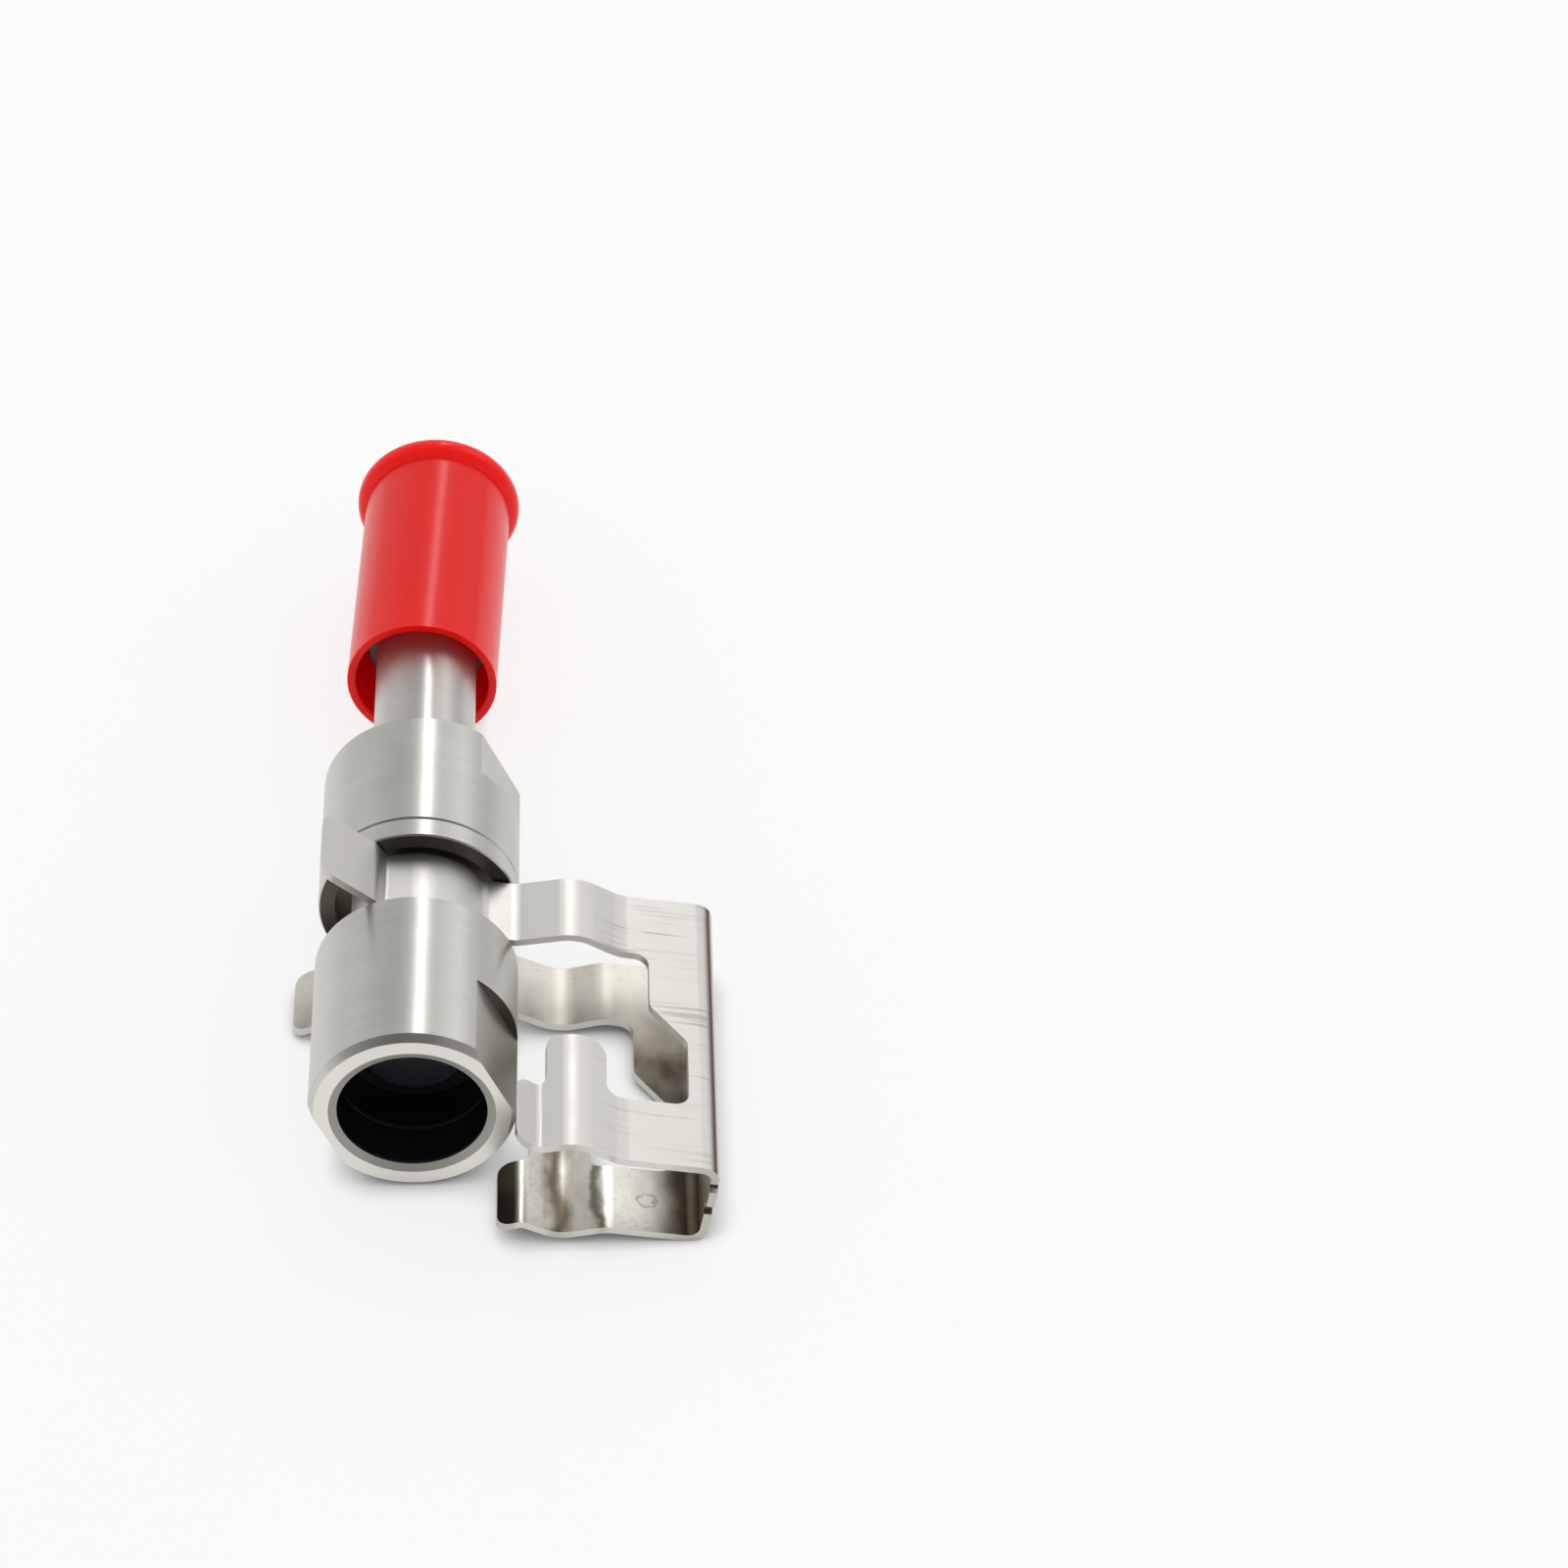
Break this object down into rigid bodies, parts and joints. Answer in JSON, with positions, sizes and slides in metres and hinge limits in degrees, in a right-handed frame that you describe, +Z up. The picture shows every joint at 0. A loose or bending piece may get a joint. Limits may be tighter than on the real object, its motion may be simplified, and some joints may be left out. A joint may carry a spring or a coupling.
{
  "type": "quick coupling socket",
  "caption": "Stainless quick coupling socket with spring-loaded poppet valve, swivelling folded-sheet retaining clip and push-on protective cap over its threaded end.",
  "frame": {"origin": "centre of the socket's mouth, on the axis of the turned body", "axes": "+Y runs from the mouth into the body and out through the stem, +Z is up with the body lying on its side and the clip resting on the same surface to +X"},
  "size_m": [0.0569, 0.1397, 0.0317],
  "materials": {
    "stainless_turned": "fine turned, satin",
    "spring_steel": "rolled strip, satin outside, heat-tinted inside",
    "black_polymer": "gloss",
    "rubber": "moulded",
    "poppet_polymer": "moulded, matt",
    "red_plastic": "soft moulded polyethylene, glossy"
  },
  "bodies": {
    "socket": {"socket_body": "stainless_turned", "bore_liner": "black_polymer", "seal_backup_ring": "black_polymer", "plug_o_ring": "rubber", "bore_spacer": "black_polymer", "face_gasket": "rubber", "poppet_guide": "poppet_polymer", "guide_circlip": "spring_steel", "poppet_spring": "spring_steel", "joint_o_ring": "rubber", "rear_body": "stainless_turned", "threaded_end": "stainless_turned", "nose_o_ring": "rubber"},
    "valve": {"poppet_head": "poppet_polymer", "poppet_o_ring": "rubber", "poppet_stem": "stainless_turned", "stem_clip": "spring_steel"},
    "clip": {"retaining_clip": "spring_steel"},
    "cap": {"protective_cap": "red_plastic"}
  },
  "joints": [
    {"name": "poppet_push", "type": "slide", "parent": "socket", "child": "valve", "axis": [0, 1, 0], "range_m": [0, 0.0055], "stiffness_N_per_m": 1500, "springref_m": -0.004, "deforming": ["poppet_spring"]},
    {"name": "clip_turn", "type": "hinge", "parent": "socket", "child": "clip", "pos_m": [0, 0.0328, 0], "axis": [0, -1, 0], "continuous": true},
    {"name": "cap_pull", "type": "slide", "parent": "socket", "child": "cap", "axis": [0.0401, 0.9992, 0], "range_m": [0, 0.06]}
  ]
}
